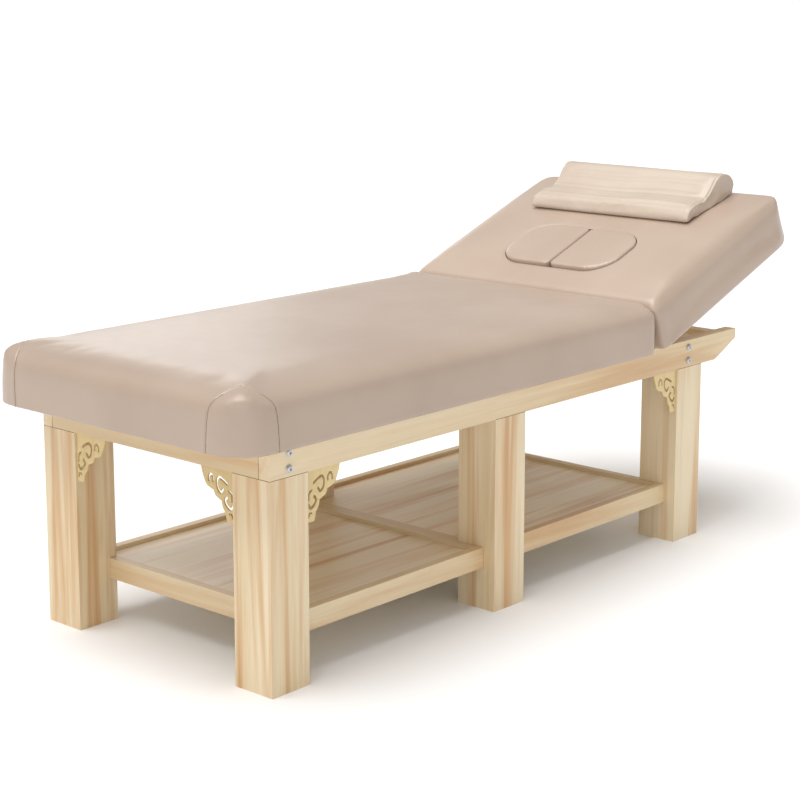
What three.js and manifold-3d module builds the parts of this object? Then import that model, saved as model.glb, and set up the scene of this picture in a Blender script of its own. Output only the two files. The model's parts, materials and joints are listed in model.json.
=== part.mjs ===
// Facial treatment bed: a six-legged wooden frame with a storage shelf, a padded seat section, and a padded
// backrest that tilts on two ratchet hinges and carries a split face-hole plug and a loose contour pillow.
// Millimetres, +Z up. +X points to the head end, -Y is the left side of a person lying on the bed.
// The origin is on the floor, in the middle of the bed's outline.
import * as THREE from "three";
import { mergeVertices } from "three/addons/utils/BufferGeometryUtils.js";
import Module from "manifold-3d";

const wasm = await Module();
wasm.setup();

// ---------- driving dimensions ----------
const GAP = 0.3; // play between pieces that touch
const FRAME_W = 665; // across the outer faces of the legs and side rails
const HALF_W = FRAME_W / 2;
const LEG = 100; // square leg
const LEG_X = [0, 657, 1333]; // foot-facing face of the foot, middle and head legs
const RAIL_T = 29; // thickness of the frame boards
const RAIL_Z = 420; // underside of the rails, on the shoulders of the legs
const RAIL_TOP = 484;
const SIDE_RAIL_END = 1581; // head end of the side rails
const SIDE_RAIL_BEVEL = { start: 1492, rise: 41 }; // slanting cut under the head end
const HEAD_RAIL_X = 1504;
const HINGE_RAIL_X = 1150;
const MIDDLE_RAIL_X = LEG_X[1] + (LEG - RAIL_T) / 2;

const SHELF = { x0: 82, x1: 1346, inset: 30, z0: 93, top: 137, t: 20 }; // shelf frame, outer faces
const SHELF_MID = { x0: 640, x1: 680 }; // rail between the two shelf panels
const PANEL = { t: 9, drop: 9 }; // shelf panel and how far it lies below the frame's top
const BATTEN = { w: 20, h: 20 };

const BRACKET = { h: 101, t: 4, set: 4, arcSteps: 4 }; // thin fretwork corner board, set back from the frame's face

const BED_W = 750; // width of the upholstery
const CUSHION_T = 120;
const BOARD = { t: 18, inset: 12 }; // plywood inside the underside of a cushion
const SEAT = { foot: -109, head: 1181, corner: 80 };
const SIDE_ROLL = { w: 60, h: 40 }; // elliptical rounding of a cushion's long and outer edges
const JOINT_ROLL = 20; // rounding where the two cushions meet

const TILT_REST = THREE.MathUtils.degToRad(20.5);
const PIVOT = { x: 1202, z: 579 };
const BACK = { length: 605, behindPivot: 12, corner: 80, crown: 15, clear: 1.2 };
const BACK_BELOW_PIVOT = PIVOT.z - RAIL_TOP - BACK.clear; // flat, the backrest lies just above the rails

const HINGE = { y: 212, plate: 4, head: 12, pin: 4, play: 0.4 };
const HINGE_BASE = { z0: 430, flangeTop: 478, flangeW: 44 };
const HINGE_ARM = { drop: 26, length: 135, front: 10, flangeFrom: 45, flangeW: 34 };
const HINGE_SLOT = { halfW: 10, u: 28, w: 108.5 };

const FACE_HOLE = { u: 186, lengthU: 195, widthY: 335, corner: 75, ledge: 20 };
const PLUG = { play: 1.5, proud: 3 };
const PILLOW = { width: 480, u0: 350, u1: 568, footprintEnd: 552, clear: 1 };

// ---------- materials ----------
const wood = new THREE.MeshStandardMaterial({ color: 0xe6cfa6, roughness: 0.45 });
const panelWood = new THREE.MeshStandardMaterial({ color: 0xe4cda3, roughness: 0.5 });
const bracketWood = new THREE.MeshStandardMaterial({ color: 0xd8bd83, roughness: 0.55 });
const plywood = new THREE.MeshStandardMaterial({ color: 0xc9ab7c, roughness: 0.7 });
const vinyl = new THREE.MeshStandardMaterial({ color: 0xd6c6b6, roughness: 0.5 });
const pillowVinyl = new THREE.MeshStandardMaterial({ color: 0xe0d2c2, roughness: 0.5 });
const steel = new THREE.MeshStandardMaterial({ color: 0xbfc1c4, roughness: 0.3, metalness: 0.9 });

// ---------- solids ----------
// A closed three.js geometry as a manifold solid.
function solidOf(geometry) {
  const positions = geometry.clone();
  positions.deleteAttribute("normal");
  positions.deleteAttribute("uv");
  const merged = mergeVertices(positions, 1e-3);
  return new wasm.Manifold(
    new wasm.Mesh({
      numProp: 3,
      vertProperties: merged.attributes.position.array,
      triVerts: new Uint32Array(merged.index.array),
    }),
  );
}

function geometryOf(solid) {
  const { numProp, numVert, vertProperties, triVerts } = solid.getMesh();
  const positions = new Float32Array(numVert * 3);
  for (let i = 0; i < numVert; i++) {
    positions.set(vertProperties.subarray(i * numProp, i * numProp + 3), i * 3);
  }
  const geometry = new THREE.BufferGeometry();
  geometry.setAttribute("position", new THREE.BufferAttribute(positions, 3));
  geometry.setIndex(new THREE.BufferAttribute(triVerts, 1));
  geometry.computeVertexNormals();
  return geometry;
}

const cut = (geometry, ...tools) =>
  geometryOf(tools.reduce((solid, tool) => solid.subtract(solidOf(tool)), solidOf(geometry)));
const join = (geometry, ...more) =>
  geometryOf(more.reduce((solid, other) => solid.add(solidOf(other)), solidOf(geometry)));
const overlapOf = (geometry, ...more) =>
  geometryOf(more.reduce((solid, other) => solid.intersect(solidOf(other)), solidOf(geometry)));

// A block between two corners.
function block(x0, x1, y0, y1, z0, z1) {
  const geometry = new THREE.BoxGeometry(x1 - x0, y1 - y0, z1 - z0);
  return geometry.translate((x0 + x1) / 2, (y0 + y1) / 2, (z0 + z1) / 2);
}

function extrude(shape, depth, curveSegments) {
  return new THREE.ExtrudeGeometry(shape, { depth, bevelEnabled: false, curveSegments });
}

// A plan outline (x, y) raised from z0 to z1.
const raise = (shape, z0, z1, segments = 6) => extrude(shape, z1 - z0, segments).translate(0, 0, z0);

// A side profile (x, z) run from y0 to y1.
const runY = (shape, y0, y1, segments = 6) =>
  extrude(shape, y1 - y0, segments).rotateX(Math.PI / 2).translate(0, y1, 0);

// A cross-section (y, z) run from x0 to x1.
function runX(shape, x0, x1, segments = 6) {
  const yzx = new THREE.Matrix4().makeBasis(
    new THREE.Vector3(0, 1, 0),
    new THREE.Vector3(0, 0, 1),
    new THREE.Vector3(1, 0, 0),
  );
  return extrude(shape, x1 - x0, segments).applyMatrix4(yzx).translate(x0, 0, 0);
}

// A rod along Y.
const rodY = (radius, x, z, y0, y1, segments = 24) =>
  new THREE.CylinderGeometry(radius, radius, y1 - y0, segments).translate(x, (y0 + y1) / 2, z);

function polygon(points) {
  return new THREE.Shape(points.map(([x, y]) => new THREE.Vector2(x, y)));
}

// A rectangle whose corners at the low and the high x are rounded by their own radii.
function roundedOutline(x0, x1, y0, y1, lowRadius, highRadius) {
  const shape = new THREE.Shape();
  shape.moveTo(x0 + lowRadius, y0);
  shape.lineTo(x1 - highRadius, y0);
  shape.absarc(x1 - highRadius, y0 + highRadius, highRadius, -Math.PI / 2, 0, false);
  shape.lineTo(x1, y1 - highRadius);
  shape.absarc(x1 - highRadius, y1 - highRadius, highRadius, 0, Math.PI / 2, false);
  shape.lineTo(x0 + lowRadius, y1);
  shape.absarc(x0 + lowRadius, y1 - lowRadius, lowRadius, Math.PI / 2, Math.PI, false);
  shape.lineTo(x0, y0 + lowRadius);
  shape.absarc(x0 + lowRadius, y0 + lowRadius, lowRadius, Math.PI, Math.PI * 1.5, false);
  return shape;
}

const bed = new THREE.Group();

function piece(name, geometry, material, parent = bed) {
  const mesh = new THREE.Mesh(geometry, material);
  mesh.name = name;
  parent.add(mesh);
  return mesh;
}

// The same piece on both sides of the bed; mirrored is -1 on the left and 1 on the right.
function bothSides(name, build, material, parent = bed) {
  for (const [side, mirrored] of [["left", -1], ["right", 1]]) {
    piece(`${name}_${side}`, build(mirrored), material, parent);
  }
}

// A block whose y range is given as distances in from the outer face of the frame.
function blockFromSide(mirrored, x0, x1, in0, in1, z0, z1) {
  const a = mirrored * (HALF_W - in0);
  const b = mirrored * (HALF_W - in1);
  return block(x0, x1, Math.min(a, b), Math.max(a, b), z0, z1);
}

// ---------- bolts ----------
const BOLT = { flange: 8.4, flangeT: 1.2, head: 7, headT: 5, shank: 4, length: 62 };
const BOLT_Z = [RAIL_Z + 16, RAIL_TOP - 17];
const BOLT_X = [50, 1376];

// A button-head bolt that points into the frame from the rail's outer face.
function bolt(mirrored, x, z) {
  const profile = [
    [0, -BOLT.length],
    [BOLT.shank, -BOLT.length],
    [BOLT.shank, 0],
    [BOLT.flange, 0],
    [BOLT.flange, BOLT.flangeT],
    [BOLT.head, BOLT.flangeT],
    [BOLT.head * 0.75, BOLT.headT * 0.85],
    [BOLT.head * 0.45, BOLT.headT],
    [BOLT.head * 0.45, BOLT.headT * 0.45],
    [0, BOLT.headT * 0.45],
  ].map(([r, h]) => new THREE.Vector2(r, h));
  const geometry = new THREE.LatheGeometry(profile, 12);
  geometry.rotateZ(mirrored < 0 ? Math.PI : 0);
  return geometry.translate(x, mirrored * (HALF_W + GAP), z);
}

function boltHole(mirrored, x, z) {
  const outer = mirrored * (HALF_W + 5);
  const inner = mirrored * (HALF_W - BOLT.length - 2);
  return rodY(BOLT.shank + GAP, x, z, Math.min(outer, inner), Math.max(outer, inner), 16);
}

const boltHoles = (mirrored, xs) => xs.flatMap((x) => BOLT_Z.map((z) => boltHole(mirrored, x, z)));

// ---------- legs ----------
// Each leg is notched at the top for the rails and lower down for the shelf.
function leg(mirrored, row) {
  const x0 = LEG_X[row];
  const x1 = x0 + LEG;
  const shelfOuter = SHELF.inset - GAP;
  const notches = [blockFromSide(mirrored, x0 - 1, x1 + 1, -1, RAIL_T + GAP, RAIL_Z - GAP, RAIL_TOP + 1)];
  const shelfNotch = (from, to, inner, top) =>
    notches.push(blockFromSide(mirrored, from, to, inner, LEG + 1, SHELF.z0 - GAP, top + GAP));
  if (row === 0) {
    notches.push(block(x0 - 1, RAIL_T + GAP, -HALF_W, HALF_W, RAIL_Z - GAP, RAIL_TOP + 1));
    shelfNotch(SHELF.x0 - GAP, x1 + 1, shelfOuter, SHELF.top);
  } else if (row === 1) {
    const panelTop = SHELF.top - PANEL.drop;
    notches.push(
      blockFromSide(mirrored, x0 - 1, x1 + 1, shelfOuter, SHELF.inset + SHELF.t + GAP, SHELF.z0 - GAP, SHELF.top + GAP),
    );
    shelfNotch(x0 - 1, SHELF_MID.x1 + GAP, shelfOuter, SHELF.top);
    shelfNotch(SHELF_MID.x1, x1 + 1, shelfOuter + SHELF.t, panelTop);
    notches.push(
      block(MIDDLE_RAIL_X - GAP, MIDDLE_RAIL_X + RAIL_T + GAP, -HALF_W, HALF_W, RAIL_Z - GAP, RAIL_TOP + 1),
    );
  } else {
    shelfNotch(x0 - 1, SHELF.x1 + GAP, shelfOuter, SHELF.top);
  }
  const holes = row === 1 ? [] : boltHoles(mirrored, [BOLT_X[row / 2]]);
  const post = blockFromSide(mirrored, x0, x1, 0, LEG, 0, RAIL_TOP - GAP);
  return cut(post, ...notches, ...holes);
}

["foot", "middle", "head"].forEach((place, row) => {
  bothSides(`leg_${place}`, (mirrored) => leg(mirrored, row), wood);
});

// ---------- rails ----------
const sideRailProfile = polygon([
  [0, RAIL_Z],
  [SIDE_RAIL_BEVEL.start, RAIL_Z],
  [SIDE_RAIL_END, RAIL_Z + SIDE_RAIL_BEVEL.rise],
  [SIDE_RAIL_END, RAIL_TOP],
  [0, RAIL_TOP],
]);
bothSides(
  "side_rail",
  (mirrored) => {
    const inner = mirrored * (HALF_W - RAIL_T);
    const outer = mirrored * HALF_W;
    const board = runY(sideRailProfile, Math.min(inner, outer), Math.max(inner, outer));
    return cut(board, ...boltHoles(mirrored, BOLT_X));
  },
  wood,
);

// A rail across the bed between the side rails.
function crossRail(name, x, z0) {
  const y = HALF_W - RAIL_T - GAP;
  piece(name, block(x, x + RAIL_T, -y, y, z0, RAIL_TOP), wood);
}
crossRail("end_rail_foot", 0, RAIL_Z);
crossRail("cross_rail_middle", MIDDLE_RAIL_X, RAIL_Z);
crossRail("cross_rail_hinge", HINGE_RAIL_X, RAIL_Z);
crossRail("cross_rail_head", HEAD_RAIL_X, RAIL_Z + 20);

for (const [place, x] of [["foot", BOLT_X[0]], ["head", BOLT_X[1]]]) {
  for (const [height, z] of [["lower", BOLT_Z[0]], ["upper", BOLT_Z[1]]]) {
    bothSides(`frame_bolt_${place}_${height}`, (mirrored) => bolt(mirrored, x, z), steel);
  }
}

// ---------- shelf ----------
const shelfInner = HALF_W - SHELF.inset - SHELF.t - GAP;
bothSides(
  "shelf_rail",
  (mirrored) =>
    blockFromSide(mirrored, SHELF.x0, SHELF.x1, SHELF.inset, SHELF.inset + SHELF.t, SHELF.z0, SHELF.top),
  wood,
);

function shelfCrossRail(name, x0, x1) {
  piece(name, block(x0, x1, -shelfInner, shelfInner, SHELF.z0, SHELF.top), wood);
}
shelfCrossRail("shelf_end_rail_foot", SHELF.x0, SHELF.x0 + SHELF.t);
shelfCrossRail("shelf_middle_rail", SHELF_MID.x0, SHELF_MID.x1);
shelfCrossRail("shelf_end_rail_head", SHELF.x1 - SHELF.t, SHELF.x1);

const panelTop = SHELF.top - PANEL.drop;
const shelfBays = [
  ["foot", SHELF.x0 + SHELF.t + GAP, SHELF_MID.x0 - GAP],
  ["head", SHELF_MID.x1 + GAP, SHELF.x1 - SHELF.t - GAP],
];
for (const [place, x0, x1] of shelfBays) {
  const underPanel = panelTop - PANEL.t;
  piece(`shelf_panel_${place}`, block(x0, x1, -shelfInner, shelfInner, underPanel, panelTop), panelWood);
  bothSides(
    `shelf_batten_${place}`,
    (mirrored) => {
      const in0 = SHELF.inset + SHELF.t + GAP;
      return blockFromSide(mirrored, x0, x1, in0, in0 + BATTEN.w, underPanel - GAP - BATTEN.h, underPanel - GAP);
    },
    wood,
  );
}

// ---------- fretwork corner brackets ----------
// Drawn with the leg along the y axis and the rail along the x axis, both at the top left corner (0, 0).
const SCALLOPS = [
  [91, -GAP],
  [82, -27],
  [66, -41],
  [56, -44],
  [43, -58],
  [35, -61],
  [24, -84],
  [20, -BRACKET.h],
];
const SCALLOP_BULGE = 0.14; // height of a lobe as a share of its length

function arch(x, y, radius, depth) {
  const hole = new THREE.Path();
  hole.moveTo(x + radius, y - depth);
  hole.lineTo(x + radius, y);
  hole.absarc(x, y, radius, 0, Math.PI, false);
  hole.lineTo(x - radius, y - depth);
  return hole;
}

// A scroll: a slot of even width that follows most of a circle.
function scroll(x, y, radius, slot, from, to) {
  const outer = radius + slot / 2;
  const inner = radius - slot / 2;
  const end = [x + radius * Math.cos(to), y + radius * Math.sin(to)];
  const start = [x + radius * Math.cos(from), y + radius * Math.sin(from)];
  const hole = new THREE.Path();
  hole.absarc(x, y, outer, from, to, false);
  hole.absarc(...end, slot / 2, to, to + Math.PI, false);
  hole.absarc(x, y, inner, to, from, true);
  hole.absarc(...start, slot / 2, from + Math.PI, from + Math.PI * 2, false);
  return hole;
}

function bracketShape() {
  const shape = new THREE.Shape();
  shape.moveTo(GAP, -GAP);
  shape.lineTo(GAP, -BRACKET.h);
  const lobes = SCALLOPS.toReversed();
  shape.lineTo(...lobes[0]);
  for (let i = 1; i < lobes.length; i++) {
    const [ax, ay] = lobes[i - 1];
    const [bx, by] = lobes[i];
    const [outX, outY] = [by - ay, ax - bx];
    const midX = (ax + bx) / 2 + outX * SCALLOP_BULGE * 2;
    const midY = (ay + by) / 2 + outY * SCALLOP_BULGE * 2;
    shape.quadraticCurveTo(midX, midY, bx, by);
  }
  shape.holes.push(arch(66, -14, 6, 7));
  shape.holes.push(scroll(35, -23, 11, 4.5, -1.9, 2.4));
  shape.holes.push(scroll(14, -50, 7, 4, -1.7, 2.6));
  shape.holes.push(arch(9, -76, 3.5, 8));
  return shape;
}

// On the long sides the bracket stands in the x-z plane; towards is the x direction it reaches in.
function sideBracket(mirrored, x, towards) {
  const shape = bracketShape();
  const y = HALF_W - BRACKET.set - BRACKET.t;
  const geometry = runY(shape, y, y + BRACKET.t, BRACKET.arcSteps);
  geometry.rotateZ(towards > 0 ? 0 : Math.PI);
  const facesLeft = towards > 0 ? 1 : -1;
  geometry.translate(x, facesLeft === mirrored ? 0 : mirrored * (2 * y + BRACKET.t), RAIL_Z);
  return geometry;
}
bothSides("bracket_side_foot", (mirrored) => sideBracket(mirrored, LEG_X[0] + LEG, 1), bracketWood);
bothSides("bracket_side_head", (mirrored) => sideBracket(mirrored, LEG_X[2], -1), bracketWood);

// On the two ends it stands in the y-z plane, from the inner face of a leg towards the middle.
function endBracket(mirrored, x) {
  const geometry = runX(bracketShape(), x, x + BRACKET.t, BRACKET.arcSteps);
  if (mirrored > 0) {
    geometry.translate(-x - BRACKET.t / 2, 0, 0).rotateZ(Math.PI).translate(x + BRACKET.t / 2, 0, 0);
  }
  return geometry.translate(0, mirrored * (HALF_W - LEG), RAIL_Z);
}
bothSides("bracket_end_foot", (mirrored) => endBracket(mirrored, BRACKET.set), bracketWood);
bothSides(
  "bracket_end_head",
  (mirrored) => endBracket(mirrored, LEG_X[2] + LEG - BRACKET.set - BRACKET.t),
  bracketWood,
);

// ---------- upholstery ----------
// Cross-section of a cushion: flat below, upright sides, rolled top edges.
function cushionSection(width, z0, height, roll) {
  const shape = new THREE.Shape();
  const half = width / 2;
  const shoulder = z0 + height - roll.h;
  shape.moveTo(-half, z0);
  shape.lineTo(half, z0);
  shape.lineTo(half, shoulder);
  shape.absellipse(half - roll.w, shoulder, roll.w, roll.h, 0, Math.PI / 2, false);
  shape.lineTo(-half + roll.w, z0 + height);
  shape.absellipse(-half + roll.w, shoulder, roll.w, roll.h, Math.PI / 2, Math.PI, false);
  return shape;
}

function seatProfile() {
  const shape = new THREE.Shape();
  const top = RAIL_TOP + GAP + CUSHION_T;
  shape.moveTo(SEAT.foot, RAIL_TOP + GAP);
  shape.lineTo(SEAT.head, RAIL_TOP + GAP);
  shape.lineTo(SEAT.head, top - JOINT_ROLL);
  shape.absarc(SEAT.head - JOINT_ROLL, top - JOINT_ROLL, JOINT_ROLL, 0, Math.PI / 2, false);
  shape.lineTo(SEAT.foot + SIDE_ROLL.w, top);
  shape.absellipse(SEAT.foot + SIDE_ROLL.w, top - SIDE_ROLL.h, SIDE_ROLL.w, SIDE_ROLL.h, Math.PI / 2, Math.PI, false);
  return shape;
}

const seatBody = overlapOf(
  runX(cushionSection(BED_W, RAIL_TOP + GAP, CUSHION_T, SIDE_ROLL), SEAT.foot - 1, SEAT.head + 1),
  runY(seatProfile(), -BED_W, BED_W),
  raise(
    roundedOutline(SEAT.foot, SEAT.head, -BED_W / 2, BED_W / 2, SEAT.corner, 6),
    RAIL_TOP - 1,
    RAIL_TOP + CUSHION_T + 1,
  ),
);
const seatBoardOutline = (grow) =>
  roundedOutline(
    SEAT.foot + BOARD.inset - grow,
    SEAT.head - BOARD.inset + grow,
    -BED_W / 2 + BOARD.inset - grow,
    BED_W / 2 - BOARD.inset + grow,
    SEAT.corner - BOARD.inset + grow,
    1,
  );
piece("seat_cushion", cut(seatBody, raise(seatBoardOutline(GAP), 0, RAIL_TOP + BOARD.t + 2 * GAP)), vinyl);
piece("seat_board", raise(seatBoardOutline(0), RAIL_TOP + GAP, RAIL_TOP + GAP + BOARD.t), plywood);

// ---------- backrest ----------
// The group's own origin is the hinge pivot. back() places what is drawn along the backrest: u from its
// foot end, w up from its underside.
const backrest = new THREE.Group();
backrest.position.set(PIVOT.x, 0, PIVOT.z);
backrest.rotation.y = -TILT_REST;
bed.add(backrest);
const back = (geometry) => geometry.translate(-BACK.behindPivot, 0, -BACK_BELOW_PIVOT);

// How far the padding stands above CUSHION_T along the middle of the backrest.
function crownAt(u) {
  const rise = THREE.MathUtils.smoothstep(u, 20, 130);
  const fall = 1 - THREE.MathUtils.smoothstep(u, 360, 560);
  return BACK.crown * rise * fall;
}

const crownPoints = (from, to, steps) =>
  Array.from({ length: steps + 1 }, (_, i) => {
    const u = from + ((to - from) * i) / steps;
    return [u, CUSHION_T + crownAt(u)];
  });

function backProfile() {
  const shape = new THREE.Shape();
  const rollStart = BACK.length - SIDE_ROLL.w;
  shape.moveTo(0, 0);
  shape.lineTo(BACK.length, 0);
  shape.lineTo(BACK.length, CUSHION_T - SIDE_ROLL.h);
  shape.absellipse(rollStart, CUSHION_T - SIDE_ROLL.h, SIDE_ROLL.w, SIDE_ROLL.h, 0, Math.PI / 2, false);
  crownPoints(JOINT_ROLL, rollStart, 12)
    .toReversed()
    .forEach(([u, w]) => shape.lineTo(u, w));
  shape.absarc(JOINT_ROLL, CUSHION_T - JOINT_ROLL, JOINT_ROLL, Math.PI / 2, Math.PI, false);
  return shape;
}

const holeOutline = (inset) =>
  roundedOutline(
    FACE_HOLE.u - FACE_HOLE.lengthU / 2 + inset,
    FACE_HOLE.u + FACE_HOLE.lengthU / 2 - inset,
    -FACE_HOLE.widthY / 2 + inset,
    FACE_HOLE.widthY / 2 - inset,
    FACE_HOLE.corner - inset,
    FACE_HOLE.corner - inset,
  );
const backBoardOutline = (grow) =>
  roundedOutline(
    BOARD.inset - grow,
    BACK.length - BOARD.inset + grow,
    -BED_W / 2 + BOARD.inset - grow,
    BED_W / 2 - BOARD.inset + grow,
    1,
    BACK.corner - BOARD.inset + grow,
  );
const hingeSlots = [-1, 1].map((mirrored) =>
  block(
    -1,
    HINGE_SLOT.u,
    mirrored * HINGE.y - HINGE_SLOT.halfW,
    mirrored * HINGE.y + HINGE_SLOT.halfW,
    -1,
    HINGE_SLOT.w,
  ),
);

const backSection = cushionSection(BED_W, 0, CUSHION_T + BACK.crown, { w: SIDE_ROLL.w, h: SIDE_ROLL.h + BACK.crown });
const backBody = overlapOf(
  runX(backSection, -1, BACK.length + 1),
  runY(backProfile(), -BED_W, BED_W),
  raise(roundedOutline(0, BACK.length, -BED_W / 2, BED_W / 2, 6, BACK.corner), -1, CUSHION_T + BACK.crown + 1),
);
piece(
  "back_cushion",
  back(
    cut(
      backBody,
      raise(backBoardOutline(GAP), -1, BOARD.t + GAP),
      raise(holeOutline(0), 0, CUSHION_T * 2),
      ...hingeSlots,
    ),
  ),
  vinyl,
  backrest,
);

// ---------- face-hole plugs ----------
// Two halves that lift out; they stand on the ledge that the board leaves round its own smaller hole.
function facePlug(mirrored) {
  const half = PLUG.play / 2;
  const y = [mirrored * half, mirrored * FACE_HOLE.widthY].sort((a, b) => a - b);
  const top = CUSHION_T + BACK.crown + PLUG.proud;
  const whole = raise(holeOutline(PLUG.play), BOARD.t + GAP, top);
  return back(overlapOf(whole, block(0, BACK.length, ...y, 0, CUSHION_T * 2)));
}
bothSides("face_plug", facePlug, vinyl, backrest);

// ---------- contour pillow ----------
// A low lobe under the neck, a shallow valley and a high crest; its underside follows the crown.
function pillow() {
  const under = crownPoints(PILLOW.u0 + 2, PILLOW.footprintEnd, 5).map(([u, w]) => [u, w + PILLOW.clear]);
  const base = CUSHION_T + 4;
  const shape = new THREE.Shape();
  shape.moveTo(...under[0]);
  under.slice(1).forEach(([u, w]) => shape.lineTo(u, w));
  shape.splineThru(
    [
      [PILLOW.u1, base + 20],
      [PILLOW.u1 - 10, base + 44],
      [532, base + 61],
      [508, base + 60],
      [474, base + 44],
      [440, base + 35],
      [402, base + 41],
      [372, base + 37],
      [PILLOW.u0, base + 22],
    ].map(([u, w]) => new THREE.Vector2(u, w)),
  );
  return back(runY(shape, -PILLOW.width / 2, PILLOW.width / 2, 3));
}
piece("pillow", pillow(), pillowVinyl, backrest);

// ---------- ratchet hinges ----------
// Across each hinge, from the middle of the bed outwards: base plate, ratchet wheel, arm.
const layer = HINGE.plate + HINGE.play;
const hingeLayer = (mirrored, index) => {
  const middle = mirrored * (HINGE.y + (index - 1) * layer);
  return [middle - HINGE.plate / 2, middle + HINGE.plate / 2];
};

function pinHole() {
  const hole = new THREE.Path();
  hole.absarc(0, 0, HINGE.pin + GAP, 0, Math.PI * 2, true);
  return hole;
}

// Plates are drawn in the x-z plane with the pin at (0, 0).
function hingeBase(mirrored) {
  const foot = HINGE_BASE.z0 - PIVOT.z;
  const flangeTop = HINGE_BASE.flangeTop - PIVOT.z;
  const flangeX = HINGE_RAIL_X + RAIL_T + GAP - PIVOT.x;
  const shape = new THREE.Shape();
  shape.moveTo(flangeX + 1, foot);
  shape.lineTo(HINGE.head, foot);
  shape.lineTo(HINGE.head, 0);
  shape.absarc(0, 0, HINGE.head, 0, Math.PI, false);
  shape.lineTo(-HINGE.head, flangeTop);
  shape.lineTo(flangeX + 1, flangeTop);
  shape.holes.push(pinHole());
  const [y0, y1] = hingeLayer(mirrored, 0);
  const middle = (y0 + y1) / 2;
  const flange = block(
    flangeX,
    flangeX + HINGE.plate,
    middle - HINGE_BASE.flangeW / 2,
    middle + HINGE_BASE.flangeW / 2,
    foot,
    flangeTop,
  );
  return join(runY(shape, y0, y1, 8), flange).translate(PIVOT.x, 0, PIVOT.z);
}
bothSides("hinge_base", hingeBase, steel);

const RATCHET = { teeth: 16, radius: 11, root: 8.5 };
function ratchetWheel(mirrored) {
  const step = (Math.PI * 2) / RATCHET.teeth;
  const points = [];
  for (let i = 0; i < RATCHET.teeth; i++) {
    points.push([RATCHET.radius * Math.cos(i * step), RATCHET.radius * Math.sin(i * step)]);
    points.push([RATCHET.root * Math.cos((i + 0.85) * step), RATCHET.root * Math.sin((i + 0.85) * step)]);
  }
  const shape = polygon(points);
  shape.holes.push(pinHole());
  return runY(shape, ...hingeLayer(mirrored, 1), 8).translate(PIVOT.x, 0, PIVOT.z);
}
bothSides("hinge_ratchet", ratchetWheel, steel);

function hingePin(mirrored) {
  const reach = 1.5 * HINGE.plate + HINGE.play + GAP;
  const cap = HINGE.pin + 2.5;
  const profile = [
    [0, -reach - 2],
    [cap, -reach - 2],
    [cap, -reach],
    [HINGE.pin, -reach],
    [HINGE.pin, reach],
    [cap, reach],
    [cap, reach + 2],
    [0, reach + 2],
  ].map(([r, h]) => new THREE.Vector2(r, h));
  return new THREE.LatheGeometry(profile, 20).translate(PIVOT.x, mirrored * HINGE.y, PIVOT.z);
}
bothSides("hinge_pin", hingePin, steel);

const SCREW_U = [65, 115];
const SCREW = { shank: 2.2, length: 16, head: 4.5, headT: 2.5 };
const armFlangeY = (mirrored) => mirrored * (HINGE.y + layer + HINGE_ARM.flangeW / 2 - HINGE.plate / 2);

function hingeArm(mirrored) {
  const under = -BACK_BELOW_PIVOT - GAP;
  const low = under - HINGE_ARM.drop;
  const end = HINGE_ARM.length - BACK.behindPivot;
  const shape = new THREE.Shape();
  shape.moveTo(-HINGE_ARM.front, low);
  shape.lineTo(end, low);
  shape.lineTo(end, under);
  shape.lineTo(HINGE.head, under);
  shape.lineTo(HINGE.head, 0);
  shape.absarc(0, 0, HINGE.head, 0, Math.PI, false);
  shape.holes.push(pinHole());
  const edge = mirrored * (HINGE.y + layer - HINGE.plate / 2);
  const far = edge + mirrored * HINGE_ARM.flangeW;
  const flange = block(
    HINGE_ARM.flangeFrom - BACK.behindPivot,
    end,
    Math.min(edge, far),
    Math.max(edge, far),
    under - HINGE.plate,
    under,
  );
  const holes = SCREW_U.map((u) =>
    new THREE.CylinderGeometry(SCREW.shank + GAP, SCREW.shank + GAP, 20, 12)
      .rotateX(Math.PI / 2)
      .translate(u - BACK.behindPivot, armFlangeY(mirrored), under),
  );
  return cut(join(runY(shape, ...hingeLayer(mirrored, 2), 8), flange), ...holes);
}
bothSides("hinge_arm", hingeArm, steel, backrest);

// Wood screws that go up through an arm's flange into the board.
function armScrew(mirrored, u) {
  const seatW = -GAP - HINGE.plate - GAP;
  const profile = [
    [0, seatW - SCREW.headT],
    [SCREW.head * 0.7, seatW - SCREW.headT],
    [SCREW.head, seatW],
    [SCREW.shank, seatW],
    [SCREW.shank, seatW + SCREW.length],
    [0, seatW + SCREW.length + SCREW.shank],
  ].map(([r, h]) => new THREE.Vector2(r, h));
  return back(new THREE.LatheGeometry(profile, 12).rotateX(Math.PI / 2).translate(u, armFlangeY(mirrored), 0));
}
SCREW_U.forEach((u, i) => {
  bothSides(`hinge_screw_${i + 1}`, (mirrored) => armScrew(mirrored, u), steel, backrest);
});

const screwHoles = [-1, 1].flatMap((mirrored) =>
  SCREW_U.map((u) =>
    new THREE.CylinderGeometry(SCREW.shank + GAP, SCREW.shank + GAP, BOARD.t * 2, 12)
      .rotateX(Math.PI / 2)
      .translate(u, armFlangeY(mirrored), 0),
  ),
);
piece(
  "back_board",
  back(
    cut(
      raise(backBoardOutline(0), 0, BOARD.t),
      raise(holeOutline(FACE_HOLE.ledge), -1, BOARD.t + 1),
      ...hingeSlots,
      ...screwHoles,
    ),
  ),
  plywood,
  backrest,
);

// ---------- origin ----------
bed.updateMatrixWorld(true);
const outline = new THREE.Box3().setFromObject(bed, true);
bed.position.x = -(outline.min.x + outline.max.x) / 2;

export default bed;
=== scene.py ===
"""Facial treatment bed: the looks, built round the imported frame.

Metres, in the frame's own axes: +X to the head end, -Y the left side, +Z up. Drawn lengths are in millimetres
times MM. What lies on the backrest is drawn flat, as (along, across, up), and placed by BACK.
"""
import json
import math

import bmesh
import bpy
import numpy as np
from mathutils import Matrix, Vector
from mathutils.bvhtree import BVHTree


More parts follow.
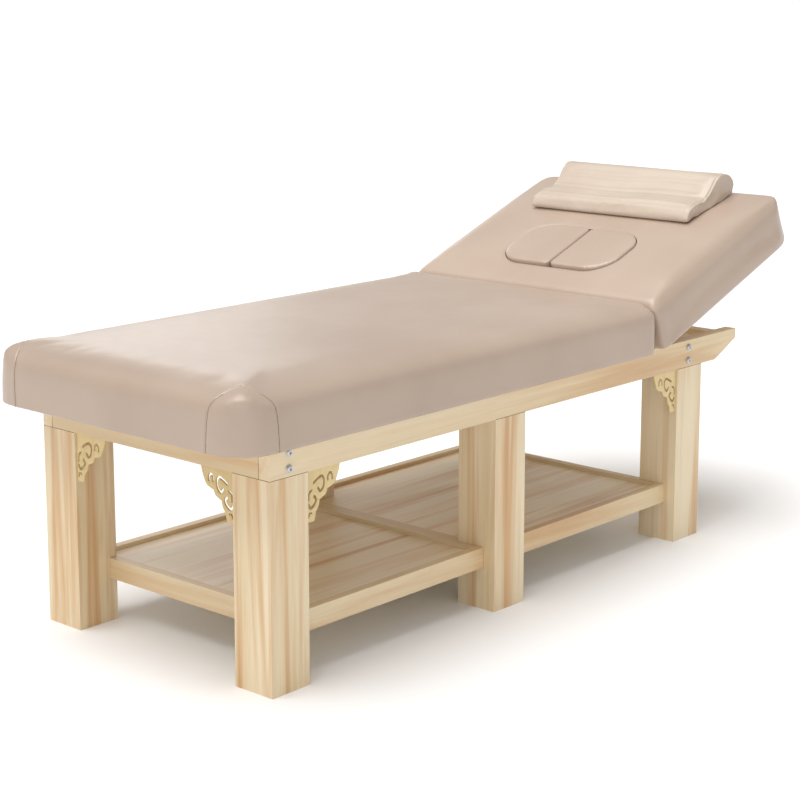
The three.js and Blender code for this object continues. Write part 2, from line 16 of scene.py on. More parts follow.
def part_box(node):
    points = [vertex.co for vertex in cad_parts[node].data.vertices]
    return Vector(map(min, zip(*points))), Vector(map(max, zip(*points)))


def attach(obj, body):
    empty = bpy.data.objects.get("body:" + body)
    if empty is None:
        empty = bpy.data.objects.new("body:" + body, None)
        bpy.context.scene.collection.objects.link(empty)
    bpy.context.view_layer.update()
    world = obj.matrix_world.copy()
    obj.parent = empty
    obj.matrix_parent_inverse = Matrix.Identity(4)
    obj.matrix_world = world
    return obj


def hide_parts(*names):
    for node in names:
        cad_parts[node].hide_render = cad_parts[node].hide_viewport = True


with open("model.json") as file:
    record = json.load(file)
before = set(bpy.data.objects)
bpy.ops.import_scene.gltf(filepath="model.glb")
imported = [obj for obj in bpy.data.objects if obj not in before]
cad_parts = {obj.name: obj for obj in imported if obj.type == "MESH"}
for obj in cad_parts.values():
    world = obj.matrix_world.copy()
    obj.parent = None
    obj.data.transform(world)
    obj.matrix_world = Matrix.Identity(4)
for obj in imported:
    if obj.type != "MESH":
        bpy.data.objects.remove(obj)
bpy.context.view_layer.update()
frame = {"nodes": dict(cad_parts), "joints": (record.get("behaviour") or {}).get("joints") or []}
nodes = frame["nodes"]
MM = 0.001
WELD = 0.01 * MM
SIDES = (("left", -1), ("right", 1))


# ---------- meshes ----------
def link(obj):
    bpy.context.scene.collection.objects.link(obj)
    return obj


def shaded(obj, angle=None):
    """Smooth shading, with sharp edges where faces meet at more than angle degrees."""
    mesh = obj.data
    mesh.polygons.foreach_set("use_smooth", [True] * len(mesh.polygons))
    if angle is not None:
        mesh.set_sharp_from_angle(angle=math.radians(angle))
    return obj


def from_bmesh(name, bm, angle=None):
    mesh = bpy.data.meshes.new(name)
    bm.normal_update()
    bm.to_mesh(mesh)
    bm.free()
    return shaded(link(bpy.data.objects.new(name, mesh)), angle)


def apply_all(obj):
    """Replaces the object's mesh by what its modifiers make of it."""
    graph = bpy.context.evaluated_depsgraph_get()
    made = bpy.data.meshes.new_from_object(obj.evaluated_get(graph))
    old = obj.data
    obj.modifiers.clear()
    obj.data = made
    bpy.data.meshes.remove(old)
    return obj


def add_modifier(obj, kind, **values):
    modifier = obj.modifiers.new(kind.lower(), kind)
    for key, value in values.items():
        setattr(modifier, key, value)
    return modifier


def coords(obj):
    co = np.zeros(len(obj.data.vertices) * 3, np.float32)
    obj.data.vertices.foreach_get("co", co)
    return co.reshape(-1, 3).astype(float)


def set_coords(obj, co):
    obj.data.vertices.foreach_set("co", co.astype(np.float32).ravel())
    obj.data.update()


def normals(obj):
    out = np.zeros(len(obj.data.vertices) * 3, np.float32)
    obj.data.vertex_normals.foreach_get("vector", out)
    return out.reshape(-1, 3).astype(float)


def ramp(x, low, high):
    t = np.clip((x - low) / (high - low), 0, 1)
    return t * t * (3 - 2 * t)


def surface_of(obj):
    mesh = obj.data
    return BVHTree.FromPolygons([v.co for v in mesh.vertices], [p.vertices for p in mesh.polygons])


def hull(name, source, matrix=None):
    """The convex hull of a CAD node, as a new object."""
    bm = bmesh.new()
    bm.from_mesh(source.data)
    if matrix is not None:
        bmesh.ops.transform(bm, matrix=matrix, verts=bm.verts)
    made = bmesh.ops.convex_hull(bm, input=bm.verts)
    inside = set(made["geom_interior"]) | set(made["geom_unused"])
    loose = [v for v in bm.verts if v in inside]
    skin = set(made["geom"])
    bmesh.ops.delete(bm, geom=[f for f in bm.faces if f not in skin], context="FACES_KEEP_BOUNDARY")
    bmesh.ops.delete(bm, geom=[v for v in loose if v.is_valid and not v.link_faces], context="VERTS")
    bmesh.ops.recalc_face_normals(bm, faces=bm.faces)
    return from_bmesh(name, bm)


def copy_mesh(name, source, matrix):
    """A CAD node's own mesh with its corners joined up, moved by matrix, as a new object."""
    bm = bmesh.new()
    bm.from_mesh(source.data)
    bmesh.ops.remove_doubles(bm, verts=bm.verts, dist=WELD)
    bmesh.ops.transform(bm, matrix=matrix, verts=bm.verts)
    return from_bmesh(name, bm)


def remesh(obj, voxel, rounds):
    """An even quad skin over obj, smoothed until its facets are gone, at obj's own size."""
    before = coords(obj)
    add_modifier(obj, "REMESH", mode="VOXEL", voxel_size=voxel, adaptivity=0)
    add_modifier(obj, "SMOOTH", factor=0.5, iterations=rounds)
    apply_all(obj)
    return fit_box(obj, before.min(axis=0), before.max(axis=0))


def fit_box(obj, low, high):
    """Stretches obj to fill a box, which smoothing had drawn it in from."""
    co = coords(obj)
    share = (co - co.min(axis=0)) / (co.max(axis=0) - co.min(axis=0))
    set_coords(obj, np.array(low) + share * (np.array(high) - np.array(low)))
    return obj


SPARE = 16 * MM  # what a cushion's blank holds below its underside, and loses when it is trimmed
CUT_RADIUS = 5 * MM  # of the edge round the underside
CUT_SHARE = 0.8  # how much of that rounding is taken


def blank(name, source, matrix=None):
    """A cushion's outer form with spare length below."""
    obj = hull(name, source, matrix)
    co = coords(obj)
    floor = co[:, 2].min()
    co[co[:, 2] < floor + 1 * MM, 2] -= SPARE
    set_coords(obj, co)
    return obj


def trim_below(obj, height):
    """Cuts obj off flat at a height and rounds the cut edge a little, as a cover turned under a board."""
    box = [(-3, -3), (3, -3), (3, 3), (-3, 3)]
    cut_away(obj, from_bmesh("below", outline_prism(box, -1.0, height)))
    co = coords(obj)
    up = co[:, 2] - height
    depth = np.clip(CUT_RADIUS - up, 0, CUT_RADIUS)
    inward = CUT_RADIUS - np.sqrt(np.maximum(CUT_RADIUS ** 2 - depth ** 2, 0))
    facing = normals(obj)
    facing[:, 2] = 0
    size = np.linalg.norm(facing, axis=1)
    outline = (size > 0.5) | (up < 0.1 * MM)
    way = np.where((size > 0.3)[:, None], facing / np.maximum(size, 0.3)[:, None], 0)
    set_coords(obj, co - way * (inward * outline * CUT_SHARE)[:, None])
    return obj


def outline_prism(points, z0, z1):
    """A closed plan outline raised from z0 to z1."""
    bm = bmesh.new()
    low = [bm.verts.new((x, y, z0)) for x, y in points]
    high = [bm.verts.new((x, y, z1)) for x, y in points]
    bm.faces.new(list(reversed(low)))
    bm.faces.new(high)
    for i in range(len(points)):
        j = (i + 1) % len(points)
        bm.faces.new((low[i], low[j], high[j], high[i]))
    bmesh.ops.recalc_face_normals(bm, faces=bm.faces)
    return bm


def cut_away(obj, *tools):
    """Takes the tools' solids, which are then removed, out of obj."""
    for tool in tools:
        add_modifier(obj, "BOOLEAN", object=tool, operation="DIFFERENCE", solver="MANIFOLD")
        apply_all(obj)
        bpy.data.objects.remove(tool)
    return obj


def tube(bm, points, radius, sides=8):
    """Adds a round tube along the points, with its own end caps."""
    points = [Vector(p) for p in points]
    last = len(points) - 1
    rings = []
    side = None
    for i, p in enumerate(points):
        along = (points[min(i + 1, last)] - points[max(i - 1, 0)]).normalized()
        side = side or along.orthogonal()
        side = (side - along * side.dot(along)).normalized()
        up = along.cross(side)
        ring = []
        for k in range(sides):
            a = 2 * math.pi * k / sides
            ring.append(bm.verts.new(p + (side * math.cos(a) + up * math.sin(a)) * radius))
        rings.append(ring)
    for a, b in zip(rings, rings[1:]):
        for k in range(sides):
            n = (k + 1) % sides
            bm.faces.new((a[k], a[n], b[n], b[k]))
    bm.faces.new(list(reversed(rings[0])))
    bm.faces.new(rings[-1])


def lathe(bm, profile, steps):
    """Adds a turned skin: profile holds (radius, height) from one end of the axis to the other."""
    rings = []
    for radius, height in profile:
        if radius == 0:
            ring = [bm.verts.new((0, 0, height))]
        else:
            angles = [2 * math.pi * k / steps for k in range(steps)]
            ring = [bm.verts.new((radius * math.cos(a), radius * math.sin(a), height)) for a in angles]
        rings.append(ring)
    for a, b in zip(rings, rings[1:]):
        for k in range(steps):
            n = (k + 1) % steps
            corners = [a[k % len(a)], a[n % len(a)], b[n % len(b)], b[k % len(b)]]
            unique = list(dict.fromkeys(corners))
            if len(unique) > 2:
                bm.faces.new(unique)


def catmull(points, steps):
    """A smooth line through the points."""
    points = [Vector(p) for p in points]
    last = len(points) - 1
    line = []
    for i in range(last):
        a, b, c, d = (points[min(max(i + k, 0), last)] for k in (-1, 0, 1, 2))
        for s in range(steps):
            t = s / steps
            line.append(0.5 * (2 * b + (c - a) * t + (2 * a - 5 * b + 4 * c - d) * t * t
                               + (3 * b - a - 3 * c + d) * t ** 3))
    line.append(points[last])
    return line


def finish_piece(obj, body, slot, material, *replaced):
    """Gives a piece its material and its body, and hides the CAD nodes that it stands for. slot is not used.
    """
    obj.data.materials.clear()
    obj.data.materials.append(material)
    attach(obj, body)
    if replaced:
        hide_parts(*replaced)
    return obj


# ---------- materials ----------
def srgb(r, g, b):
    """An 8-bit screen colour as the linear colour that shaders take."""
    def linear(c):
        c /= 255
        return c / 12.92 if c <= 0.04045 else ((c + 0.055) / 1.055) ** 2.4
    return (linear(r), linear(g), linear(b), 1.0)


class Shader:
    """A material's nodes while it is being made."""

    def __init__(self, name):
        self.material = bpy.data.materials.new(name)
        self.material.use_nodes = True
        self.tree = self.material.node_tree
        self.principled = self.tree.nodes["Principled BSDF"]

    def set(self, node, values):
        for key, value in values.items():
            if isinstance(value, bpy.types.NodeSocket):
                self.tree.links.new(value, node.inputs[key])
            else:
                node.inputs[key].default_value = value

    def node(self, kind, inputs=None, **settings):
        node = self.tree.nodes.new("ShaderNode" + kind)
        for key, value in settings.items():
            setattr(node, key, value)
        self.set(node, inputs or {})
        return node

    def math(self, operation, a, b=0.0):
        return self.node("Math", {0: a, 1: b}, operation=operation).outputs[0]

    def place(self, scale=(1, 1, 1), location=(0, 0, 0)):
        source = self.node("TexCoord").outputs["Object"]
        return self.node("Mapping", {"Vector": source, "Scale": scale, "Location": location}).outputs[0]

    def noise(self, vector, scale, detail=3.0, roughness=0.5, distortion=0.0):
        values = {"Vector": vector, "Scale": scale, "Detail": detail, "Roughness": roughness}
        return self.node("TexNoise", {**values, "Distortion": distortion}).outputs[0]

    def colours(self, factor, stops):
        node = self.node("ValToRGB", {"Fac": factor})
        elements = node.color_ramp.elements
        while len(elements) < len(stops):
            elements.new(0.5)
        for element, (position, colour) in zip(elements, stops):
            element.position = position
            element.color = colour
        return node.outputs[0]

    def mix(self, factor, a, b, blend="MIX"):
        node = self.node("Mix", data_type="RGBA", blend_type=blend)
        self.set(node, {0: factor, 6: a, 7: b})
        return node.outputs[2]

    def span(self, value, low, high):
        return self.node("MapRange", {"Value": value, "To Min": low, "To Max": high}).outputs[0]

    def bump(self, height, distance, strength, under=None):
        values = {"Height": height, "Distance": distance, "Strength": strength}
        if under is not None:
            values["Normal"] = under
        return self.node("Bump", values).outputs[0]

    def done(self, **inputs):
        self.set(self.principled, {key.replace("_", " "): value for key, value in inputs.items()})
        return self.material


CREAM = srgb(236, 219, 187)
STRAW = srgb(226, 203, 162)
TAN = srgb(214, 174, 124)
REDDISH = srgb(198, 146, 96)


def wood(name, along, seed, tint=(CREAM, STRAW), streak=TAN, amount=0.75):
    """Clear-lacquered pine whose grain runs along one axis, in soft reddish streaks over fine fibres."""
    s = Shader(name)

    def stretched(share):
        scale = [1.0, 1.0, 1.0]
        scale[along] = share
        return s.place(tuple(scale), (seed, seed * 1.7, seed * 2.3))

    broad = s.noise(stretched(0.09), 9.0, 2.0, 0.5, 0.4)
    streaks = s.noise(stretched(0.045), 24.0, 3.0, 0.55, 0.5)
    lines = s.noise(stretched(0.03), 90.0, 2.0, 0.6, 0.3)
    fibre = s.noise(stretched(0.03), 420.0, 3.0, 0.6)
    base = s.colours(broad, [(0.36, tint[0]), (0.62, tint[1])])
    soft = s.math("MULTIPLY", s.colours(streaks, [(0.49, (0, 0, 0, 1)), (0.64, (1, 1, 1, 1))]), amount)
    toned = s.mix(soft, base, streak)
    dark = s.colours(s.math("MULTIPLY", streaks, broad), [(0.28, (0, 0, 0, 1)), (0.40, (1, 1, 1, 1))])
    toned = s.mix(s.math("MULTIPLY", dark, 0.75 * amount), toned, REDDISH)
    ring = s.colours(lines, [(0.54, (0, 0, 0, 1)), (0.72, (1, 1, 1, 1))])
    toned = s.mix(s.math("MULTIPLY", ring, 0.25), toned, streak)
    shade = s.colours(fibre, [(0.3, (0.93, 0.93, 0.93, 1)), (0.7, (1, 1, 1, 1))])
    colour = s.mix(1.0, toned, shade, "MULTIPLY")
    return s.done(
        Base_Color=colour, Roughness=s.span(fibre, 0.36, 0.50), Normal=s.bump(fibre, 0.0001, 0.6),
        Coat_Weight=0.2, Coat_Roughness=0.2,
    )


VINYL_GRAIN = 900.0  # pebbles per metre


def vinyl(name, light, dark):
    """Smooth synthetic leather: satin, with a very fine pebbled grain and faint creases."""
    s = Shader(name)
    where = s.place()
    cloud = s.noise(where, 4.0, 3.0)
    crease = s.noise(where, 26.0, 4.0, 0.6)
    pebbled = {"Vector": where, "Scale": VINYL_GRAIN}
    cells = s.node("TexVoronoi", pebbled, feature="DISTANCE_TO_EDGE").outputs[0]
    colour = s.colours(cloud, [(0.38, light), (0.64, dark)])
    # A little darker along the grooves between the pebbles.
    groove_tone = s.colours(cells, [(0.0, (0.955, 0.95, 0.945, 1)), (0.22, (1, 1, 1, 1))])
    pebbles = s.bump(s.math("MINIMUM", cells, 0.35), 0.0003, 0.25)
    soft = s.bump(crease, 0.0015, 0.12, pebbles)
    return s.done(
        Base_Color=s.mix(1.0, colour, groove_tone, "MULTIPLY"), Roughness=s.span(crease, 0.27, 0.38),
        Normal=soft, Coat_Weight=0.15, Coat_Roughness=0.28,
    )


def metal(name, colour, roughness):
    """Plated steel with fine scratches that run one way."""
    s = Shader(name)
    scratches = s.noise(s.place((1, 1, 6)), 350.0, 2.0)
    dulled = tuple(c * 0.82 for c in colour[:3]) + (1.0,)
    return s.done(
        Base_Color=s.mix(scratches, colour, dulled), Metallic=1.0,
        Roughness=s.span(scratches, roughness - 0.07, roughness + 0.1),
    )


def plywood_face():
    """Unlacquered plywood: a cloudy face veneer with fine fibres."""
    s = Shader("plywood_face")
    where = s.place((0.08, 1, 1), (3.1, 0.4, 0.0))
    cloud = s.noise(where, 18.0, 4.0, 0.6, 0.8)
    fibre = s.noise(where, 260.0, 2.0)
    colour = s.colours(cloud, [(0.35, srgb(214, 187, 143)), (0.65, srgb(190, 158, 112))])
    shade = s.colours(fibre, [(0.3, (0.9, 0.9, 0.9, 1)), (0.7, (1, 1, 1, 1))])
    return s.done(
        Base_Color=s.mix(1.0, colour, shade, "MULTIPLY"), Roughness=0.65,
        Normal=s.bump(fibre, 0.0002, 0.5),
    )


def thread(name, colour):
    """A matt line of one colour with a fine twist in it: stitching thread, and the painted shade lines in the
    seams and the frame's joints.
    """
    s = Shader(name)
    twist = s.noise(s.place(), 2200.0, 1.0)
    shade = s.colours(twist, [(0.35, (0.85, 0.85, 0.85, 1)), (0.65, (1, 1, 1, 1))])
    return s.done(Base_Color=s.mix(1.0, colour, shade, "MULTIPLY"), Roughness=0.7)


pine_upright = wood("pine_upright", 2, 0.0, amount=0.9)
pine_long = wood("pine_long", 0, 4.0, amount=0.55)
# Darker than the other pine, as painted shade for the foot rail under the cushion's overhang; the other cross
# rails share it.
SHADE_DARKENED_PINE = (srgb(228, 208, 172), srgb(216, 192, 152))
pine_cross = wood("pine_cross", 1, 8.0, SHADE_DARKENED_PINE, amount=0.5)
# Pale pine, made paler still as painted light, since the shelf lies in the bed's shade.
PALE_PINE_WITH_PAINTED_LIGHT = (srgb(251, 242, 222), srgb(245, 231, 202))
pine_shelf = wood("pine_shelf", 0, 13.0, PALE_PINE_WITH_PAINTED_LIGHT, srgb(230, 196, 152), 0.6)
YELLOW_PINE = (srgb(226, 203, 148), srgb(214, 188, 130))
fret_wood = wood("fret_wood", 2, 21.0, YELLOW_PINE, amount=0.3)
cover = vinyl("cover_vinyl", srgb(184, 164, 147), srgb(178, 157, 140))
pillow_cover = vinyl("pillow_vinyl", srgb(199, 183, 167), srgb(191, 174, 157))
steel = metal("bright_steel", srgb(206, 208, 212), 0.26)
dark_steel = metal("hinge_steel", srgb(160, 162, 166), 0.38)
plywood = plywood_face()
# The dark line laid in each sewn seam is painted shade of its groove.
seam_dark = thread("seam_shadow", srgb(138, 118, 100))
# Painted shade of the narrow gaps in the frame's joints.
joint_dark = thread("joint_shadow", srgb(92, 70, 46))
stitch_thread = thread("stitch_thread", srgb(203, 186, 168))


# ---------- wooden frame and metal that keep their CAD shape ----------
def dress(name, material, bevel, segments=3):
    """A CAD node keeps its shape and gets a finish and softly broken edges."""
    node = nodes[name]
    node.data.materials.clear()
    node.data.materials.append(material)
    add_modifier(
        node, "BEVEL", width=bevel * MM, segments=segments, limit_method="ANGLE",
        angle_limit=math.radians(30), harden_normals=True,
    )
    shaded(node, 35)


for name in nodes:
    if name.startswith("leg_"):
        dress(name, pine_upright, 2.5)
    elif name.startswith(("side_rail", "shelf_rail", "shelf_batten")):
        dress(name, pine_long, 1.6)
    elif name.startswith(("end_rail", "cross_rail", "shelf_end_rail", "shelf_middle_rail")):
        dress(name, pine_cross, 1.6)
    elif name.startswith("shelf_panel"):
        dress(name, pine_shelf, 0.8)
    elif name.endswith("_board"):
        dress(name, plywood, 0.8)
    elif name.startswith(("hinge_pin", "hinge_screw")):
        dress(name, steel, 0.3, 2)
    elif name.startswith("hinge_"):
        dress(name, dark_steel, 0.4, 2)


# ---------- joints of the frame ----------
JOINT_LINE = {"radius": 0.75 * MM, "inset": 0.45 * MM}


def joint_lines():
    """The dark hairlines where the legs' shoulders meet the rails, and the side rails meet the foot rail:
    painted shade of the narrow gaps there.
    """
    rail_low, rail_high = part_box("side_rail_left")
    end_low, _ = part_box("end_rail_foot")
    inset = JOINT_LINE["inset"]
    radius = JOINT_LINE["radius"]
    bm = bmesh.new()
    for name in nodes:
        if not name.startswith("leg_"):
            continue
        low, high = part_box(name)
        left = low.y < 0
        outer = low.y + inset if left else high.y - inset
        inner = high.y if left else low.y
        tube(bm, [(low.x, outer, rail_low.z), (high.x, outer, rail_low.z)], radius, 6)
        if name.startswith("leg_foot"):
            face = low.x + inset
            seam = end_low.y if left else -end_low.y
            tube(bm, [(face, outer, rail_low.z), (face, inner, rail_low.z)], radius, 6)
            tube(bm, [(face, seam, rail_low.z), (face, seam, rail_high.z)], radius, 6)
    finish_piece(from_bmesh("frame_joint_lines", bm), "frame", "frame_wood", joint_dark)


joint_lines()


# ---------- frame bolts ----------
# Radii, heights and the socket's width across its flats, in millimetres.
BOLT_FLANGE = 8.4
BOLT_HEAD = 7.0
BOLT_RISE = 5.0
BOLT_SHANK = 4.0
BOLT_LENGTH = 62.0
BOLT_STEPS = 36
HEX_ACROSS = 5.6
FLANGE_TOP = 1.4


def bolt_profile():
    """Half of a flanged button head, from the middle of its socket floor out and round to its shank."""
    dome = []
    for i in range(9):
        a = math.radians(10 * i)
        height = FLANGE_TOP + (BOLT_RISE - FLANGE_TOP) * math.cos(a)
        dome.append((BOLT_HEAD * (0.62 + 0.38 * math.sin(a)), height))
    rim = [(BOLT_HEAD, FLANGE_TOP), (BOLT_FLANGE - 0.4, 1.2), (BOLT_FLANGE, 0.9), (BOLT_FLANGE, 0.3)]
    shank = [(BOLT_FLANGE - 0.4, 0.0), (BOLT_SHANK, 0.0), (BOLT_SHANK, 2.0 - BOLT_LENGTH)]
    return dome + rim + shank + [(BOLT_SHANK - 0.8, -BOLT_LENGTH), (0, -BOLT_LENGTH)]


def hex_ring(bm, height):
    """A six-sided ring of the socket, with as many points as the head's rings have."""
    ring = []
    for k in range(BOLT_STEPS):
        a = 2 * math.pi * k / BOLT_STEPS
        reach = HEX_ACROSS / 2 / math.cos((a + math.pi / 6) % (math.pi / 3) - math.pi / 6)
        ring.append(bm.verts.new((reach * math.cos(a) * MM, reach * math.sin(a) * MM, height * MM)))
    return ring


def frame_bolt(name, node, outward):
    """A button-head bolt with a hex socket, pointing into the frame."""
    low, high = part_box(node)
    bm = bmesh.new()
    profile = [(r * MM, h * MM) for r, h in bolt_profile()]
    lathe(bm, profile, BOLT_STEPS)
    bm.verts.ensure_lookup_table()
    top = bm.verts[:BOLT_STEPS]
    mouth = hex_ring(bm, BOLT_RISE - 0.5)
    bottom = hex_ring(bm, BOLT_RISE * 0.4)
    for a, b in ((top, mouth), (mouth, bottom)):
        for k in range(BOLT_STEPS):
            n = (k + 1) % BOLT_STEPS
            bm.faces.new((a[k], a[n], b[n], b[k]))
    bm.faces.new(bottom)
    bmesh.ops.recalc_face_normals(bm, faces=bm.faces)
    face = (low.y if outward < 0 else high.y) - outward * BOLT_RISE * MM
    turn = Matrix.Rotation(math.radians(-90 if outward > 0 else 90), 4, "X")
    middle = Vector(((low.x + high.x) / 2, face, (low.z + high.z) / 2))
    bmesh.ops.transform(bm, matrix=Matrix.Translation(middle) @ turn, verts=bm.verts)
    obj = from_bmesh(name, bm, 32)
    return finish_piece(obj, "frame", "steel", steel, node)


for side, outward in SIDES:
    for place in ("foot", "head"):
        for height in ("lower", "upper"):
            node = f"frame_bolt_{place}_{height}_{side}"
            frame_bolt(f"{node}_fine", node, outward)


# ---------- fretwork brackets ----------
# Drawn with the leg's edge along x = 0 and the rail's underside along y = 0, in millimetres. A stroke is a
# list of points and a share of FRET_STROKE, its width.
BRACKET_PLAY = 0.4
BRACKET_DROP = 101
LOBES = [(91, 0), (82, -27), (66, -41), (56, -44), (43, -58), (35, -61), (24, -84), (20, -BRACKET_DROP)]
LOBE_BULGE = [0.04, 0.16, 0.05, 0.18, 0.08, 0.10, 0.04]
BRACKET_THICKNESS = 4.0
BRACKET_EDGE = 0.6
FRET_STROKE = 5.2
STROKES = [
    ([(70, -27), (69, -18.5), (63.5, -14.5), (58.5, -19), (57.5, -27)], 0.9),
    ([(20, -26), (30, -20), (41, -16.5), (47.5, -24), (45.5, -38), (37.5, -45.5), (31, -38)], 1.0),
    ([(14, -39.5), (7.5, -43.5), (5.5, -51), (5.8, -58)], 0.85),
    ([(5.5, -67), (11, -74), (20, -69), (26, -60), (21, -53)], 1.15),
    ([(13, -84), (8, -83.5), (5.4, -90)], 0.8),
]


def bulged(points, bulges, steps=8):
    """A polyline whose stretches bow out to the left of their direction."""
    line = []
    for (ax, ay), (bx, by), bulge in zip(points, points[1:], bulges):
        middle = ((ax + bx) / 2 - (by - ay) * bulge * 2, (ay + by) / 2 + (bx - ax) * bulge * 2)
        for i in range(steps):
            t = i / steps
            start, bow, end = (1 - t) ** 2, 2 * t * (1 - t), t * t
            x = start * ax + bow * middle[0] + end * bx
            y = start * ay + bow * middle[1] + end * by
            line.append((x, y))
    line.append(points[-1])
    return line


def stroke(points, width):
    """The outline of a slot of even width along a smooth line, with round ends."""
    line = [Vector((p.x, p.y)) for p in catmull([(x, y, 0) for x, y in points], 5)]
    left, right = [], []
    for i, p in enumerate(line):
        along = (line[min(i + 1, len(line) - 1)] - line[max(i - 1, 0)]).normalized()
        side = Vector((-along.y, along.x)) * width / 2
        left.append(p + side)
        right.append(p - side)

    def cap(centre, start):
        arm = start - centre
        return [centre + Matrix.Rotation(-math.pi * k / 6, 2) @ arm for k in range(1, 6)]

    around = left + cap(line[-1], left[-1]) + right[::-1] + cap(line[0], right[0])
    return [tuple(p) for p in around]


def bracket_outline():
    """The straight edges along the leg and the rail, a little clear of both, and the scalloped edge."""
    inner = [(BRACKET_PLAY, -BRACKET_PLAY), (BRACKET_PLAY, -BRACKET_DROP)]
    lobes = bulged([(x, y if y else -BRACKET_PLAY) for x, y in LOBES], LOBE_BULGE)
    return inner + lobes[::-1]


def fret_curve(name):
    """The board's outline and its piercings as one filled curve with rounded arrises."""
    curve = bpy.data.curves.new(name, "CURVE")
    curve.dimensions = "2D"
    curve.fill_mode = "BOTH"
    curve.extrude = (BRACKET_THICKNESS / 2 - BRACKET_EDGE) * MM
    curve.bevel_depth = BRACKET_EDGE * MM
    curve.bevel_resolution = 2
    curve.offset = -BRACKET_EDGE * MM
    for outline in [bracket_outline()] + [stroke(p, FRET_STROKE * share) for p, share in STROKES]:
        spline = curve.splines.new("POLY")
        spline.points.add(len(outline) - 1)
        for point, (x, y) in zip(spline.points, outline):
            point.co = (x * MM, y * MM, 0, 1)
        spline.use_cyclic_u = True
    return curve


def bracket(name, node, matrix):
    """A pierced corner board, drawn in the x-y plane and then placed by matrix."""
    drawn = link(bpy.data.objects.new(name + "_drawn", fret_curve(name)))
    graph = bpy.context.evaluated_depsgraph_get()
    mesh = bpy.data.meshes.new_from_object(drawn.evaluated_get(graph))
    bpy.data.objects.remove(drawn)
    bm = bmesh.new()
    bm.from_mesh(mesh)
    bmesh.ops.remove_doubles(bm, verts=bm.verts, dist=2 * WELD)
    bmesh.ops.transform(bm, matrix=matrix, verts=bm.verts)
    bmesh.ops.recalc_face_normals(bm, faces=bm.faces)
    obj = from_bmesh(name, bm, 35)
    return finish_piece(obj, "frame", "fretwork", fret_wood, node)


BRACKET_SET = 0.3  # how far the drawing's corner lies beyond the CAD board's, in millimetres


def stand_bracket(node, out, normal):
    """Where a bracket's drawing goes: out is the way it reaches from its leg, normal is across the board."""
    low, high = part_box(node)
    if out.x:
        corner = Vector((low.x if out.x > 0 else high.x, (low.y + high.y) / 2, high.z))
    else:
        corner = Vector(((low.x + high.x) / 2, low.y if out.y > 0 else high.y, high.z))
    corner -= out * BRACKET_SET * MM
    corner.z += BRACKET_SET * MM
    up = Vector((0, 0, 1))
    basis = Matrix((out, up, normal)).transposed().to_4x4()
    return Matrix.Translation(corner) @ basis


for side, outward in SIDES:
    for place, towards in (("foot", 1), ("head", -1)):
        along = Vector((towards, 0, 0))
        node = f"bracket_side_{place}_{side}"
        bracket(f"{node}_fine", node, stand_bracket(node, along, Vector((0, -towards, 0))))
        inward = Vector((0, -outward, 0))
        node = f"bracket_end_{place}_{side}"
        bracket(f"{node}_fine", node, stand_bracket(node, inward, Vector((-outward, 0, 0))))


# ---------- padding ----------
CLOTH_FRAMES = 20


def inflate(obj, pressure, cap, pinned):
    """Blows the skin up like a filled cover. pinned and cap hold a value for each vertex: 1 stays put, and a
    point moves at most cap metres."""
    start = coords(obj)
    group = obj.vertex_groups.new(name="held")
    for i in np.nonzero(pinned > 0.01)[0]:
        group.add([int(i)], float(pinned[i]), "REPLACE")
    cloth = add_modifier(obj, "CLOTH")
    settings = cloth.settings
    settings.quality = 5
    settings.mass = 0.35
    settings.tension_stiffness = 25
    settings.compression_stiffness = 25
    settings.shear_stiffness = 10
    settings.bending_stiffness = 4
    settings.use_pressure = True
    settings.uniform_pressure_force = pressure
    settings.vertex_group_mass = "held"
    settings.effector_weights.gravity = 0
    cloth.collision_settings.use_collision = False
    cloth.point_cache.frame_start = 1
    cloth.point_cache.frame_end = CLOTH_FRAMES
    scene = bpy.context.scene
    for number in range(1, CLOTH_FRAMES + 1):
        scene.frame_set(number)
    apply_all(obj)
    scene.frame_set(1)
    obj.vertex_groups.clear()
    moved = coords(obj) - start
    length = np.linalg.norm(moved, axis=1)
    share = cap * np.tanh(length / np.maximum(cap, 1e-6)) / np.maximum(length, 1e-9)
    set_coords(obj, start + moved * share[:, None])
    return obj


def refine(obj):
    """One subdivision."""
    add_modifier(obj, "SUBSURF", levels=1, render_levels=1)
    return apply_all(obj)


def distance_to(line, co):
    """Each point's distance to a polyline."""
    line = np.array(line)
    best = np.full(len(co), 1e9)
    for a, b in zip(line, line[1:]):
        ab = b - a
        length = np.linalg.norm(ab)
        t = np.clip(((co - a) @ ab) / max(length * length, 1e-12), 0, 1)
        d = np.linalg.norm(co - (a + t[:, None] * ab), axis=1)
        best = np.minimum(best, d)
    return best


SEWN_REACH = 9 * MM  # how far from a seam the skin is refined


def sew(obj, lines, depth, width, swell, rounds):
    """Presses sewn seams into a finished skin: a fine valley with a slight swell on each side of it."""
    for _ in range(rounds):
        bm = bmesh.new()
        bm.from_mesh(obj.data)
        co = np.array([v.co for v in bm.verts])
        near = np.zeros(len(co), bool)
        for line in lines:
            near |= distance_to(line, co) < SEWN_REACH
        edges = [e for e in bm.edges if near[e.verts[0].index] and near[e.verts[1].index]]
        bmesh.ops.subdivide_edges(bm, edges=edges, cuts=1, use_grid_fill=True, smooth=0.0)
        bm.normal_update()
        bm.to_mesh(obj.data)
        bm.free()
    co = coords(obj)
    facing = normals(obj)
    push = np.zeros(len(co))
    for line in lines:
        d = distance_to(line, co) / MM
        push -= depth * np.exp(-(d / width) ** 2)
        push += swell * np.exp(-((d - 3.5 * width) / (1.4 * width)) ** 2)
    set_coords(obj, co + facing * push[:, None] * MM)
    return shaded(obj)


def snapped(surface, points, lift=0.0):
    """The points moved onto the surface, then lift metres off it."""
    line = []
    for p in points:
        spot, normal, _, _ = surface.find_nearest(Vector(p))
        line.append(spot + normal * lift)
    return line


